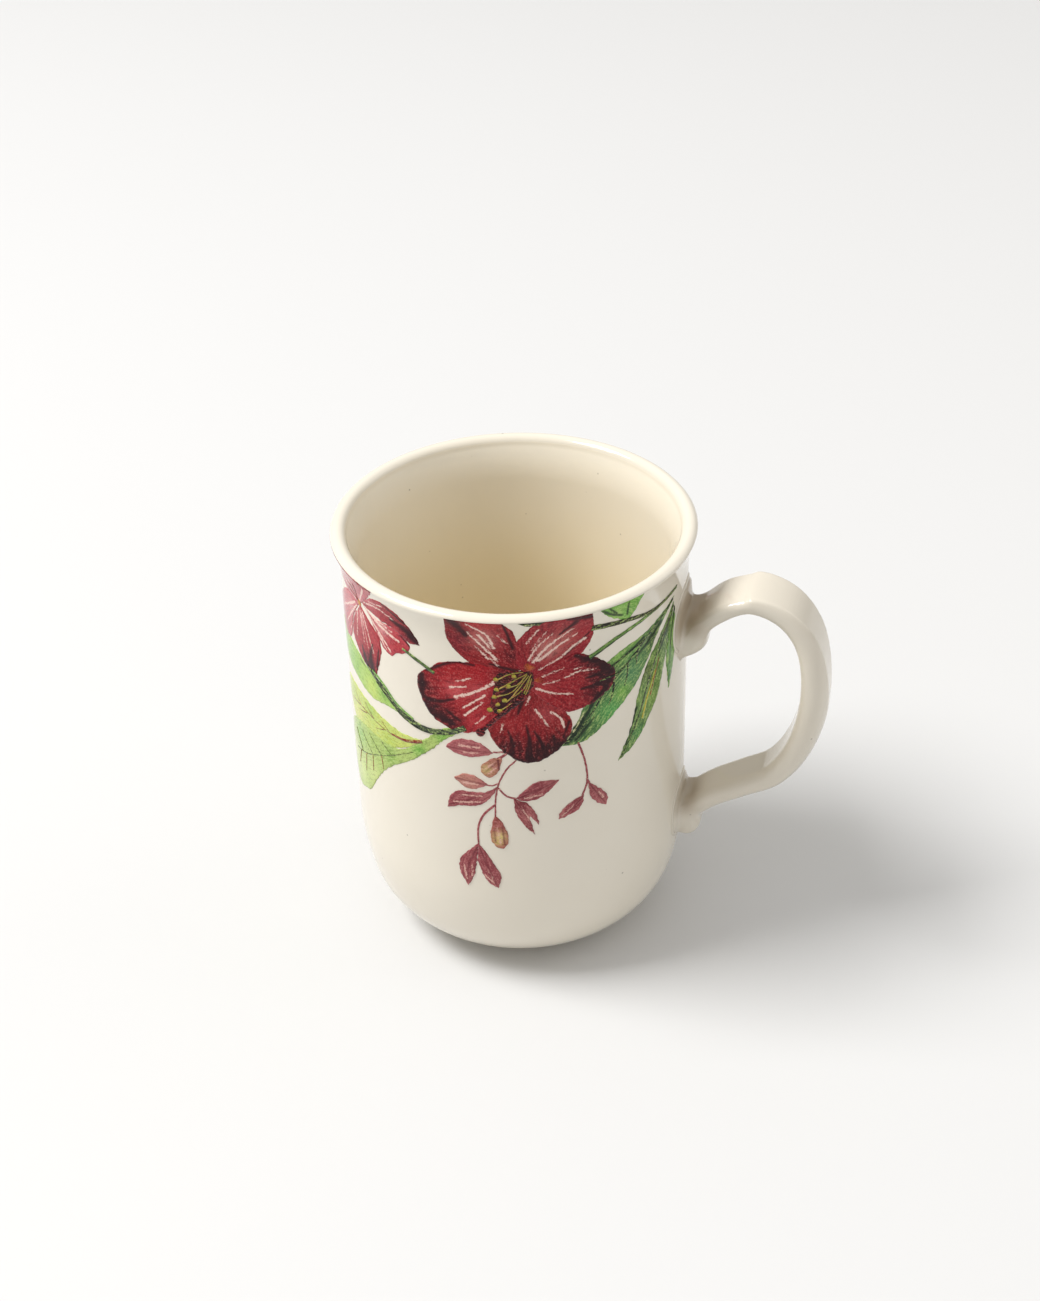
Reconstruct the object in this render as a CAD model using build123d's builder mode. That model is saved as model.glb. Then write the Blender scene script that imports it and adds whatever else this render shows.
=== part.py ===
"""Handled mug in cream glazed earthenware with a floral transfer print.

Frame: +Z up, Z is the cup's axis, the origin is on that axis in the plane the foot stands on,
and the handle points along +X.  Millimetres.
"""
from build123d import *
from math import asin, cos, degrees, radians, sin, sqrt
import os

# ---- driving dimensions: cup ------------------------------------------------------------
height = 105.4            # table to the top of the lip
rim_radius = 41.0         # widest point, the edge of the flared lip
rim_edge_z = 104.4        # height of that edge
wall_radius = 39.2        # straight outside wall
bore_radius = 35.6        # straight inside wall
flare_z = 95.6            # the outside starts to flare here
bore_flare_z = 95.0       # the inside starts to flare here
lip_inner_radius = 37.4   # where the lip's round top turns into the inside
lip_inner_z = 103.6
lip_crown_radius = 39.5   # the highest circle of the lip
wall_bottom_z = 31.2      # the straight outside wall ends here
coat_bottom_z = 24.0      # coats on the wall are sketched straight down to here
upper_turn_radius = 68.0  # slow curve below the straight wall
upper_turn = 13.1         # degrees
lower_turn_radius = 20.0  # tighter curve that runs under the cup
foot_outer = 25.5
foot_inner = 22.5
foot_recess = 2.2         # height of the underside inside the foot ring
foot_edge = 0.7           # rounding of the foot ring
floor_z = 7.0             # inside floor
bore_corner = 18.0        # inside corner between wall and floor

# ---- driving dimensions: handle ---------------------------------------------------------
strap_width = 12.4
strap_thickness = 5.2
strap_corner = 2.0
# centre line of the strap in the XZ plane, with the bend radius at each inner corner
strap_points = [
    (36.0, 81.5), (45.6, 91.0), (56.0, 94.9), (66.4, 87.6), (69.6, 74.0),
    (67.2, 54.0), (62.4, 44.4), (52.0, 41.0), (36.0, 34.0),
]
strap_bends = [18.0, 11.0, 14.0, 44.0, 30.0, 11.0, 80.0]
slip_thickness = 0.4      # luting slip between the wall and the handle's feet
foot_pad = 2.0            # thickness of the handle's feet on the wall
upper_foot = (17.0, 19.0, 84.9)    # width, height, centre height
lower_foot = (15.0, 18.6, 34.8)
foot_corner = 6.0
slip_margin = 0.8         # the slip shows this far round each foot
upper_heel = (44.6, 75.9, 85.4)    # reach, bottom and top of the thickened heel
lower_heel = (44.8, 26.0, 34.0)
heel_width = 11.6

# ---- driving dimensions: transfer print -------------------------------------------------
print_thickness = 0.12
far = 60.0                # longer than any radius, for the cutting prisms

os.makedirs("parts", exist_ok=True)


def outside_profile(proud, bottom_z=coat_bottom_z):
    """Outside of the wall from the lip's edge to the foot, moved outwards by a thickness."""
    r = wall_radius + proud
    edge_r = rim_radius + proud
    flare = TangentArc((r, flare_z), (edge_r, rim_edge_z), tangent=(0, 1))
    wall = Line((r, flare_z), (r, bottom_z))
    return flare, wall


# where the outside's two lower curves meet
turn = radians(upper_turn)
mid_r = wall_radius - upper_turn_radius * (1 - cos(turn))
mid_z = wall_bottom_z - upper_turn_radius * sin(turn)
low_r = mid_r - lower_turn_radius * cos(turn)
low_z = mid_z + lower_turn_radius * sin(turn)
foot_top_z = low_z - sqrt(lower_turn_radius ** 2 - (foot_outer - low_r) ** 2)

# ---- cup body ---------------------------------------------------------------------------
with BuildPart() as cup_body:
    with BuildSketch(Plane.XZ) as half_section:
        with BuildLine():
            outside_profile(0.0, wall_bottom_z)
            upper = CenterArc((wall_radius - upper_turn_radius, wall_bottom_z), upper_turn_radius,
                              0, -upper_turn)
            low_end = -degrees(asin((low_z - foot_top_z) / lower_turn_radius))
            CenterArc((low_r, low_z), lower_turn_radius, -upper_turn, low_end + upper_turn)
            Polyline((foot_outer, foot_top_z), (foot_outer, 0), (foot_inner, 0),
                     (foot_inner, foot_recess), (0, foot_recess), (0, floor_z),
                     (bore_radius - bore_corner, floor_z))
            RadiusArc((bore_radius - bore_corner, floor_z),
                      (bore_radius, floor_z + bore_corner), -bore_corner)
            Line((bore_radius, floor_z + bore_corner), (bore_radius, bore_flare_z))
            TangentArc((bore_radius, bore_flare_z), (lip_inner_radius, lip_inner_z),
                       tangent=(0, 1))
            ThreePointArc((lip_inner_radius, lip_inner_z), (lip_crown_radius, height),
                          (rim_radius, rim_edge_z))
        make_face()
    revolve(axis=Axis.Z)
    foot_edges = cup_body.edges().filter_by(GeomType.CIRCLE).group_by(Axis.Z)[0]
    fillet(foot_edges, radius=foot_edge)
cup_body.part.label = "cup_body"


def layer(inner, outer):
    """Half section of a coat on the outside wall and its flare, between two thicknesses."""
    with BuildSketch(Plane.XZ) as section:
        with BuildLine():
            flare_in, wall_in = outside_profile(inner)
            flare_out, wall_out = outside_profile(outer)
            Line(flare_in @ 1, flare_out @ 1)
            Line(wall_in @ 1, wall_out @ 1)
        make_face()
    return section.sketch


def patch(foot, margin, corner):
    """Rounded rectangle facing +X, as large as one foot of the handle plus a margin."""
    width, tall, centre_z = foot
    with BuildSketch(Plane.YZ) as outline:
        with Locations((0, centre_z)):
            RectangleRounded(width + 2 * margin, tall + 2 * margin, corner)
    return outline.sketch


# ---- handle: strap, heels and feet, one casting -------------------------------------------
with BuildPart() as upper_pad:
    revolve(layer(slip_thickness, slip_thickness + foot_pad), axis=Axis.Z)
    extrude(patch(upper_foot, 0, foot_corner), amount=far, mode=Mode.INTERSECT)

with BuildPart() as lower_pad:
    revolve(layer(slip_thickness, slip_thickness + foot_pad), axis=Axis.Z)
    extrude(patch(lower_foot, 0, foot_corner), amount=far, mode=Mode.INTERSECT)

with BuildPart() as handle:
    with BuildLine(Plane.XZ) as centre_line:
        FilletPolyline(*strap_points, radius=strap_bends)
    start = centre_line.line
    with BuildSketch(Plane(start @ 0, x_dir=(0, 1, 0), z_dir=start % 0)):
        RectangleRounded(strap_width, strap_thickness, strap_corner)
    sweep(path=start)
    for reach, bottom, top in (upper_heel, lower_heel):
        with BuildSketch(Plane.XZ.offset(-heel_width / 2)):
            with BuildLine():
                round_r = (reach - wall_radius) * 0.75
                FilletPolyline((wall_radius - 2, bottom), (reach, bottom), (reach, top),
                               (wall_radius - 2, top), close=True, radius=[0.5, round_r, 1.5, 0.5])
            make_face()
        extrude(amount=heel_width)
    with BuildSketch(Plane.XZ):
        with BuildLine():
            flare, wall = outside_profile(slip_thickness)
            Polyline(flare @ 1, (0, rim_edge_z), (0, coat_bottom_z), wall @ 1)
        make_face()
    revolve(axis=Axis.Z, mode=Mode.SUBTRACT)
    add(upper_pad.part)
    add(lower_pad.part)
handle.part.label = "handle"

# ---- luting slip that joins the handle's feet to the wall ---------------------------------
with BuildPart() as upper_handle_joint:
    revolve(layer(0, slip_thickness), axis=Axis.Z)
    extrude(patch(upper_foot, slip_margin, foot_corner + slip_margin), amount=far,
            mode=Mode.INTERSECT)
upper_handle_joint.part.label = "upper_handle_joint"

with BuildPart() as lower_handle_joint:
    revolve(layer(0, slip_thickness), axis=Axis.Z)
    extrude(patch(lower_foot, slip_margin, foot_corner + slip_margin), amount=far,
            mode=Mode.INTERSECT)
lower_handle_joint.part.label = "lower_handle_joint"

# ---- transfer print: thin films fired onto the wall, the same five motifs on each side ------
# Each motif: the direction it faces, in degrees round the axis, and its outline as (distance
# along the wall to the right, height), seen from outside.
motifs = {
    "flower": (-73.0, [
        (-16.3, 104.2), (-4.4, 104.2), (-1.4, 99.0), (2.0, 103.8), (13.7, 103.8), (14.7, 98.2),
        (11.2, 93.6), (16.2, 90.4), (19.6, 86.0), (17.4, 81.4), (8.6, 79.3), (9.9, 75.0),
        (7.9, 70.0), (1.4, 66.8), (-5.0, 70.1), (-7.7, 74.6), (-15.2, 74.8), (-21.5, 79.2),
        (-22.8, 84.5), (-20.2, 89.8), (-10.6, 93.0), (-15.8, 98.6),
    ]),
    "side_flower": (-135.0, [
        (-15.5, 104.0), (8.2, 104.0), (10.0, 99.4), (16.8, 96.0), (18.0, 93.4), (11.8, 89.0),
        (6.0, 88.0), (4.4, 80.4), (1.0, 79.6), (-3.0, 86.0), (-9.0, 83.4), (-12.0, 88.0),
        (-16.4, 94.0),
    ]),
    "left_leaves": (-127.6, [
        (-18.5, 77.0), (-18.8, 54.0), (-8.8, 43.6), (0.0, 52.0), (8.0, 61.4), (17.4, 70.6),
        (16.6, 73.4), (8.0, 72.4), (2.0, 77.4), (-6.0, 78.2),
    ]),
    "right_leaves": (-35.5, [
        (14.2, 97.4), (2.0, 98.8), (-1.6, 103.8), (-9.4, 104.0), (-8.6, 99.6), (-5.6, 97.4),
        (-4.6, 93.0), (-2.0, 88.6), (-6.2, 80.8), (-11.0, 78.2), (-14.4, 77.2), (-15.8, 69.8),
        (-7.4, 72.2), (-4.0, 62.2), (-0.6, 66.0), (4.0, 75.6), (9.0, 86.0), (12.2, 74.0),
        (14.2, 74.0),
    ]),
    "sprig": (-73.5, [
        (-17.4, 69.6), (-8.6, 68.8), (-5.0, 66.2), (1.6, 64.8), (8.4, 68.0), (12.6, 68.4),
        (13.0, 62.0), (17.8, 52.6), (15.4, 50.4), (7.4, 49.8), (4.0, 46.6), (-3.0, 43.0),
        (-5.0, 31.4), (-14.0, 31.4), (-11.8, 45.0), (-17.6, 52.0), (-16.4, 61.0),
    ]),
}

transfers = []
for side, quarter_turns in (("front", 0), ("rear", 2)):
    for motif, (facing, outline) in motifs.items():
        angle = radians(facing + 90 * quarter_turns)
        tangent = (-sin(angle), cos(angle), 0)
        outward = (cos(angle), sin(angle), 0)
        with BuildPart() as transfer:
            revolve(layer(0, print_thickness), axis=Axis.Z)
            with BuildSketch(Plane(origin=(0, 0, 0), x_dir=tangent, z_dir=outward)):
                with BuildLine():
                    Polyline(*outline, close=True)
                make_face()
            extrude(amount=far, mode=Mode.INTERSECT)
        transfer.part.label = f"{side}_{motif}_print"
        transfers.append(transfer)

for piece in (cup_body, handle, upper_handle_joint, lower_handle_joint, *transfers):
    export_step(piece.part, f"parts/{piece.part.label}.step")
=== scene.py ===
"""Looks of the handled mug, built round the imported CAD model. Metres, +Z up, handle along +X."""
import math

import bmesh
import bpy
import numpy as np
from mathutils import Matrix, Vector, geometry, noise


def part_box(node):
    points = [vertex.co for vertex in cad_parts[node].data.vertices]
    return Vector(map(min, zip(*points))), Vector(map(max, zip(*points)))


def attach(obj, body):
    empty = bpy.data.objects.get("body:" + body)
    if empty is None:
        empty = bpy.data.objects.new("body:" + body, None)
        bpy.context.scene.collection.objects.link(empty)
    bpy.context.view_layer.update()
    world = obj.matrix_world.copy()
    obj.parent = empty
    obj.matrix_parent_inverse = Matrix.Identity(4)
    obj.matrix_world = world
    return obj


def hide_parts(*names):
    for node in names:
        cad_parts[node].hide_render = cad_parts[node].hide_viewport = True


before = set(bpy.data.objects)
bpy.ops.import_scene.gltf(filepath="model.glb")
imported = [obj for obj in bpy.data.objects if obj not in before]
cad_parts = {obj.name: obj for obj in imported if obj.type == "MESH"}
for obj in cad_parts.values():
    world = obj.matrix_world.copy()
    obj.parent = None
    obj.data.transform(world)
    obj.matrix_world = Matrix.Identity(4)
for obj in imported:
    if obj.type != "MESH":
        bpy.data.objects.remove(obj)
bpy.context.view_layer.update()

MM = 0.001
noise.seed_set(3)                       # so the ragged edges of the print are the same on every run

# ---- sizes, from the frame -----------------------------------------------------------------
cup_low, cup_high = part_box("cup_body")
RIM_RADIUS = cup_high.x / MM            # widest circle of the lip
LIP_TOP = cup_high.z / MM
RIM_Z = LIP_TOP - 1.0                   # height of the widest circle
WALL_RADIUS = RIM_RADIUS - 1.8
BORE_RADIUS = WALL_RADIUS - 3.6
FLARE_Z = LIP_TOP - 9.8                 # the outside starts to flare here
WALL_BOTTOM_Z = 31.2                    # the straight wall ends here; two arcs run on to the foot
TURN_Z = 12.0                           # and the tighter arc begins
BELLY, TURN, TURN_ANGLE = 68.0, 20.0, 13.1      # radii of the two arcs, degrees of the first one
FOOT_OUT, FOOT_IN, FOOT_EDGE = 25.5, 22.5, 0.8  # radii of the foot ring and of its rounding
RECESS = 2.2                            # depth of the hollow inside the foot ring
THROAT = (37.4, LIP_TOP - 1.8)          # radius and height where the inside flare meets the lip
CROWN_RADIUS = 39.5                     # where the lip is highest
BORE_FLARE_Z = LIP_TOP - 10.4           # the inside starts to flare here
BORE_BOTTOM_Z, BORE_TURN = 25.0, 18.0   # and turns in to the inside floor with this radius


# ---- studio: camera, floor and lights --------------------------------------------------------
VIEW_AZIMUTH = math.radians(15.0)       # the camera stands this far round from facing +Y


def seen(right, away, up):
    """A point given as the camera's owner would: to the right, away and up, in millimetres."""
    c, s = math.cos(VIEW_AZIMUTH), math.sin(VIEW_AZIMUTH)
    return Vector((right * c - away * s, right * s + away * c, up)) * MM


def make_camera():
    distance, elevation = 468.6, math.radians(30.85)
    pitch, yaw, roll = math.radians(34.36), math.radians(0.08), math.radians(-1.72)
    eye = seen(0, -distance * math.cos(elevation), RIM_Z + distance * math.sin(elevation))
    ahead = seen(math.sin(yaw) * math.cos(pitch), math.cos(yaw) * math.cos(pitch),
                 -math.sin(pitch)).normalized()
    right = ahead.cross(Vector((0, 0, 1))).normalized()
    up = right.cross(ahead)
    tilt = Matrix.Rotation(-roll, 3, ahead)
    right, up = tilt @ right, tilt @ up
    data = bpy.data.cameras.new("camera")
    data.lens = 58.03
    data.sensor_width = 36
    data.clip_start, data.clip_end = 0.01, 20
    camera = bpy.data.objects.new("camera", data)
    camera.matrix_world = Matrix((right, up, -ahead)).transposed().to_4x4()
    camera.location = eye
    bpy.context.collection.objects.link(camera)
    bpy.context.scene.camera = camera


def area_light(name, place, size, power, colour=(1, 1, 1), aim=(0, 0, 50)):
    data = bpy.data.lights.new(name, "AREA")
    data.shape = "RECTANGLE"
    data.size, data.size_y = size
    data.energy = power
    data.color = colour
    lamp = bpy.data.objects.new(name, data)
    lamp.location = seen(*place)
    lamp.rotation_euler = (seen(*aim) - lamp.location).to_track_quat("-Z", "Y").to_euler()
    bpy.context.collection.objects.link(lamp)
    return lamp


class Nodes:
    """Short ways to build one shader node tree."""

    def __init__(self, tree):
        self.tree = tree

    def put(self, socket, value):
        """Feed a socket from another socket, a colour or a number."""
        if isinstance(value, bpy.types.NodeSocket):
            self.tree.links.new(value, socket)
        else:
            socket.default_value = (*value, 1) if isinstance(value, tuple) else value

    def add(self, kind, inputs, **settings):
        node = self.tree.nodes.new("ShaderNode" + kind)
        for name, value in settings.items():
            setattr(node, name, value)
        for name, value in inputs.items():
            self.put(node.inputs[name], value)
        return node

    def noise(self, place, scale, detail=2.0):
        inputs = {"Scale": scale, "Detail": detail}
        if place is not None:
            inputs["Vector"] = place
        return self.add("TexNoise", inputs).outputs["Fac"]

    def mix(self, amount, a, b):
        """Colour a where the amount is 0, colour b where it is 1."""
        node = self.add("Mix", {"Factor": amount, "A": a, "B": b}, data_type="RGBA")
        return node.outputs["Result"]

    def ramp(self, value, low, high, low_result=0.0, high_result=1.0, kind="SMOOTHSTEP"):
        """One result up to the low end, the other from the high end on, and a slope between."""
        inputs = {"Value": value, "From Min": low, "From Max": high}
        inputs.update({"To Min": low_result, "To Max": high_result})
        return self.add("MapRange", inputs, interpolation_type=kind).outputs["Result"]

    def math(self, operation, a, b):
        node = self.add("Math", {}, operation=operation)
        self.put(node.inputs[0], a)
        self.put(node.inputs[1], b)
        return node.outputs["Value"]

    def attribute(self, name, output="Fac"):
        return self.add("Attribute", {}, attribute_name=name).outputs[output]

    def place(self):
        return self.add("TexCoord", {}).outputs["Object"]

    def bump(self, height, strength, distance):
        inputs = {"Strength": strength, "Distance": distance, "Height": height}
        return self.add("Bump", inputs).outputs["Normal"]


def new_material(name):
    """A material, its nodes and its shader."""
    material = bpy.data.materials.new(name)
    material.use_nodes = True
    make = Nodes(material.node_tree)
    return material, make, make.tree.nodes["Principled BSDF"]


def glossy(shader, coat_index):
    """A matt body of colour under clear, smooth glaze."""
    settings = {"Roughness": 0.42, "Specular IOR Level": 0.0, "Coat Weight": 1.0,
                "Coat Roughness": 0.05, "Coat IOR": coat_index}
    for name, value in settings.items():
        shader.inputs[name].default_value = value


HORIZON, OVERHEAD = 0.32, 0.76          # strength of the white room at eye level and straight above


def make_lights():
    world = bpy.data.worlds.new("studio")
    world.use_nodes = True
    make = Nodes(world.node_tree)
    background = make.tree.nodes["Background"]
    background.inputs["Color"].default_value = (1.0, 0.985, 0.965, 1)
    direction = make.add("TexCoord", {}).outputs["Generated"]
    up = make.add("SeparateXYZ", {"Vector": direction}).outputs["Z"]
    make.put(background.inputs["Strength"], make.ramp(up, 0.0, 1.0, HORIZON, OVERHEAD, "LINEAR"))
    bpy.context.scene.world = world
    area_light("key", (-1245, -40, 1875), (0.95, 0.95), 47.0, (1.0, 0.995, 0.99))
    area_light("fill", (1250, 150, 650), (1.0, 1.0), 2.5, (1.0, 0.99, 0.975))
    bpy.context.scene.view_settings.view_transform = "Standard"


def make_floor():
    mesh = bpy.data.meshes.new("floor")
    half = 4.0
    mesh.from_pydata([(-half, -half, 0), (half, -half, 0), (half, half, 0), (-half, half, 0)],
                     [], [(0, 1, 2, 3)])
    floor = bpy.data.objects.new("floor", mesh)
    bpy.context.collection.objects.link(floor)
    material, make, shader = new_material("floor_paper")
    paper = make.mix(make.noise(None, 6.0), (0.685, 0.685, 0.682), (0.705, 0.705, 0.702))
    make.put(shader.inputs["Base Color"], paper)
    shader.inputs["Roughness"].default_value = 0.75
    shader.inputs["Specular IOR Level"].default_value = 0.25
    mesh.materials.append(material)


# ---- materials --------------------------------------------------------------------------------
CREASE_SHADE_COLOUR = (0.36, 0.28, 0.185)            # painted shade: dark brown put into the handle's creases by the wall, where the cup shades them
SPECK = (0.10, 0.065, 0.035)            # iron specks in the glaze
SHALLOW_Z, DEEP_Z = 0.100, 0.055        # metres; between them the inside glaze is painted warmer and darker, as painted shade deep in the cup


def glaze(name, light, dark, deep=None):
    """Glossy cream glaze: slow tint changes, a few iron specks and a slightly uneven surface.

    Painted shade: low down inside the cup the glaze turns to the warmer, darker colour deep,
    and where a mesh's shade attribute says so it turns dark brown, in the handle's creases.
    """
    material, make, shader = new_material(name)
    place = make.place()
    colour = make.mix(make.noise(place, 45.0, 4.0), light, dark)
    # painted shade: deeper in the cup the glaze is painted warmer and darker
    if deep:
        height = make.add("SeparateXYZ", {"Vector": place}).outputs["Z"]
        colour = make.mix(make.ramp(height, SHALLOW_Z, DEEP_Z), colour, deep)
    # painted shade: dark brown where the mesh's shade attribute says so
    colour = make.mix(make.attribute("crease_shade"), colour, CREASE_SHADE_COLOUR)
    # specks: the cores of a few of the cells
    cells = make.add("TexVoronoi", {"Vector": place, "Scale": 330.0, "Randomness": 1.0})
    core = make.ramp(cells.outputs["Distance"], 0.05, 0.11, 1.0, 0.0, "LINEAR")
    lottery = make.add("SeparateColor", {"Color": cells.outputs["Color"]}).outputs["Red"]
    amount = make.math("MULTIPLY", core, make.math("GREATER_THAN", lottery, 0.93))
    colour = make.mix(make.math("MULTIPLY", amount, 0.45), colour, SPECK)
    make.put(shader.inputs["Base Color"], colour)
    ripple = make.bump(make.noise(place, 130.0), 0.05, 0.0004)
    make.put(shader.inputs["Normal"], ripple)
    make.put(shader.inputs["Coat Normal"], ripple)
    glossy(shader, 1.5)
    return material


def biscuit():
    """Bare fired clay on the foot's edge, wiped clean of glaze."""
    material, make, shader = new_material("bare_foot")
    sand = make.noise(make.place(), 1800.0)
    make.put(shader.inputs["Base Color"], make.mix(sand, (0.70, 0.62, 0.50), (0.60, 0.51, 0.39)))
    make.put(shader.inputs["Normal"], make.bump(sand, 0.3, 0.0002))
    shader.inputs["Roughness"].default_value = 0.85
    return material


# ---- cup ---------------------------------------------------------------------------------------
def arc(centre, radius, start, end, steps):
    """Points of a circular arc in the (radius, height) plane, angles in degrees."""
    angles = np.radians(np.linspace(start, end, steps))
    return [(centre[0] + radius * math.cos(a), centre[1] + radius * math.sin(a)) for a in angles]


def flare(bottom, top, steps):
    """Arc that leaves the vertical at bottom and leans outwards up to top."""
    rise, run = top[1] - bottom[1], top[0] - bottom[0]
    radius = (rise * rise + run * run) / (2 * run)
    lean = math.degrees(math.asin(rise / radius))
    return arc((bottom[0] + radius, bottom[1]), radius, 180, 180 - lean, steps)


def outside_radius(z):
    """Radius of the outside wall at a height, or at an array of heights, in millimetres."""
    rise, run = RIM_Z - FLARE_Z, RIM_RADIUS - WALL_RADIUS
    bend = (rise * rise + run * run) / (2 * run)
    up = np.clip(z, FLARE_Z, RIM_Z) - FLARE_Z
    down = WALL_BOTTOM_Z - np.clip(z, TURN_Z, WALL_BOTTOM_Z)
    return (WALL_RADIUS + bend - np.sqrt(bend ** 2 - up ** 2)
            - BELLY + np.sqrt(BELLY ** 2 - down ** 2))


def cup_profile():
    """Closed half section from the underside's centre, out, up, over the lip and down inside."""
    low_r = WALL_RADIUS - BELLY + (BELLY - TURN) * math.cos(math.radians(TURN_ANGLE))
    low_z = WALL_BOTTOM_Z - (BELLY - TURN) * math.sin(math.radians(TURN_ANGLE))
    join = math.degrees(math.acos((FOOT_OUT - low_r) / TURN))
    hollow = FOOT_IN - 1.2              # the recess is flat up to a 1 mm fillet
    path = [(0.0, RECESS), (8, RECESS), (16, RECESS), (hollow, RECESS)]
    path += arc((hollow, RECESS - 1.0), 1.0, 90, 0, 6)[1:]
    path += arc((FOOT_IN + FOOT_EDGE, FOOT_EDGE), FOOT_EDGE, 180, 270, 7)
    path += arc((FOOT_OUT - FOOT_EDGE, FOOT_EDGE), FOOT_EDGE, 270, 345, 7)
    path += arc((low_r, low_z), TURN, -join + 1.5, -TURN_ANGLE, 26)
    path += arc((WALL_RADIUS - BELLY, WALL_BOTTOM_Z), BELLY, -TURN_ANGLE, 0, 14)[1:]
    path += [(WALL_RADIUS, z) for z in np.linspace(WALL_BOTTOM_Z, FLARE_Z, 26)[1:-1]]
    path += flare((WALL_RADIUS, FLARE_Z), (RIM_RADIUS, RIM_Z), 14)
    path += lip()
    path += flare((BORE_RADIUS, BORE_FLARE_Z), THROAT, 14)[::-1]
    path += [(BORE_RADIUS, z) for z in np.linspace(BORE_FLARE_Z, BORE_BOTTOM_Z, 24)[1:-1]]
    path += arc((BORE_RADIUS - BORE_TURN, BORE_BOTTOM_Z), BORE_TURN, 0, -90, 26)
    inside_floor = BORE_BOTTOM_Z - BORE_TURN
    path += [(12, inside_floor), (6, inside_floor), (0.0, inside_floor)]
    return path


def lip():
    """Round top of the lip between the outside edge and the inside flare."""
    ax, ay, bx, by, cx, cy = RIM_RADIUS, RIM_Z, CROWN_RADIUS, LIP_TOP, *THROAT
    d = 2 * (ax * (by - cy) + bx * (cy - ay) + cx * (ay - by))
    aa, bb, cc = ax**2 + ay**2, bx**2 + by**2, cx**2 + cy**2
    ux = (aa * (by - cy) + bb * (cy - ay) + cc * (ay - by)) / d
    uy = (aa * (cx - bx) + bb * (ax - cx) + cc * (bx - ax)) / d
    radius = math.hypot(ax - ux, ay - uy)
    start = math.degrees(math.atan2(ay - uy, ax - ux))
    end = math.degrees(math.atan2(cy - uy, cx - ux))
    return arc((ux, uy), radius, start, end, 16)[1:-1]


def lathe(name, path, segments, material):
    """Closed surface of revolution of a path that starts and ends on the axis."""
    mesh = bpy.data.meshes.new(name)
    verts, faces, rings = [], [], []
    for r, z in path:
        if r < 1e-6:
            rings.append([len(verts)])
            verts.append((0, 0, z * MM))
        else:
            rings.append(list(range(len(verts), len(verts) + segments)))
            for i in range(segments):
                a = 2 * math.pi * i / segments
                verts.append((r * math.cos(a) * MM, r * math.sin(a) * MM, z * MM))
    for low, high in zip(rings, rings[1:]):
        for i in range(segments):
            j = (i + 1) % segments
            if len(low) == 1:
                faces.append((low[0], high[i], high[j]))
            elif len(high) == 1:
                faces.append((low[j], low[i], high[0]))
            else:
                faces.append((low[j], low[i], high[i], high[j]))
    mesh.from_pydata(verts, [], faces)
    mesh.validate()
    solid = bpy.data.objects.new(name, mesh)
    bpy.context.collection.objects.link(solid)
    work = bmesh.new()
    work.from_mesh(mesh)
    bmesh.ops.recalc_face_normals(work, faces=work.faces)
    work.to_mesh(mesh)
    work.free()
    mesh.shade_smooth()
    mesh.materials.append(material)
    return solid


def make_cup(material, inner, bare):
    cup = lathe("cup", cup_profile(), 240, material)
    cup.data.materials.append(inner)
    cup.data.materials.append(bare)
    for face in cup.data.polygons:
        reach = math.hypot(*face.center.xy) / MM
        height = face.center.z / MM
        within = reach < min(THROAT[0] + 0.2, float(outside_radius(height)) - 1.5)
        if face.normal.z > -0.5 and height > RECESS + 2.8 and within:
            face.material_index = 1
        elif height < FOOT_EDGE - 0.1 and reach > FOOT_IN - 0.5:
            face.material_index = 2
    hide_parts("cup_body")
    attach(cup, "root")


# ---- handle: a strap, its two heels and its two foot pads, melted together by the glaze ---------
# The strap's middle line and the heels are drawn in the (reach from the axis, height) plane.
STRAP_LINE = [(35.6, 72.6), (40.0, 80.6), (45.9, 88.4), (53.8, 92.9), (61.4, 90.6), (66.4, 84.6),
              (68.6, 76.0), (68.5, 65.0), (65.8, 54.0), (60.8, 45.8), (53.6, 41.4), (45.8, 36.6),
              (36.0, 27.4)]
RIDGE = (54.6, 93.1)                    # the thumb rest's ridge crosses the strap here
REST_LENGTH = 25.0                      # the flat of the thumb rest runs this far behind the ridge
HALF_WIDTH, HALF_THICK = 6.75, 2.65     # of the strap at its ridge
# a heel: two balls (reach, height, radius), half its width, and how softly it melts into the strap
HEELS = [((40.0, 84.8, 3.5), (41.3, 81.2, 3.6), 5.6, 2.6),
         ((40.0, 33.2, 3.3), (40.9, 28.2, 3.4), 5.3, 1.2)]
# a foot pad: height of its middle, half its width and half its height
FOOT_PADS = {"upper": (85.4, 9.0, 7.7), "lower": (31.8, 7.6, 7.4)}
PAD_DEPTH, PAD_POWER = 1.3, 2.4         # thickness, and how square its outline is
# painted shade in the creases at the handle's two roots: height, distance from the wall, half the spread
# of each, strength
CREASE_SHADES = [(88.5, 2.4, 5.2, 3.8, 0.92), (37.0, 2.2, 4.6, 3.0, 0.65)]
SKIN_CELL = 0.38
BEAD_SIDES = 12


def hermite(points, closed=False, step=0.3):
    """Smooth curve through given points; a third value of 1 marks a sharp corner."""
    corner = [len(p) > 2 for p in points]
    places = np.array([p[:2] for p in points], float)
    count = len(points)
    curve = []
    for i in range(count if closed else count - 1):
        j = (i + 1) % count
        chord = places[j] - places[i]
        length = np.linalg.norm(chord)
        tangents = []
        for k in (i, j):
            before, after = (k - 1) % count, (k + 1) % count
            end = not closed and k in (0, count - 1)
            if corner[k] or end:
                tangents.append(chord)
            else:
                span = (np.linalg.norm(places[k] - places[before])
                        + np.linalg.norm(places[after] - places[k]))
                tangents.append((places[after] - places[before]) / span * length)
        steps = max(2, int(length / step))
        for t in np.arange(steps) / steps:
            curve.append((2*t**3 - 3*t**2 + 1) * places[i] + (t**3 - 2*t**2 + t) * tangents[0]
                         + (3*t**2 - 2*t**3) * places[j] + (t**3 - t**2) * tangents[1])
    if not closed:
        curve.append(places[-1])
    return np.array(curve)


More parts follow.
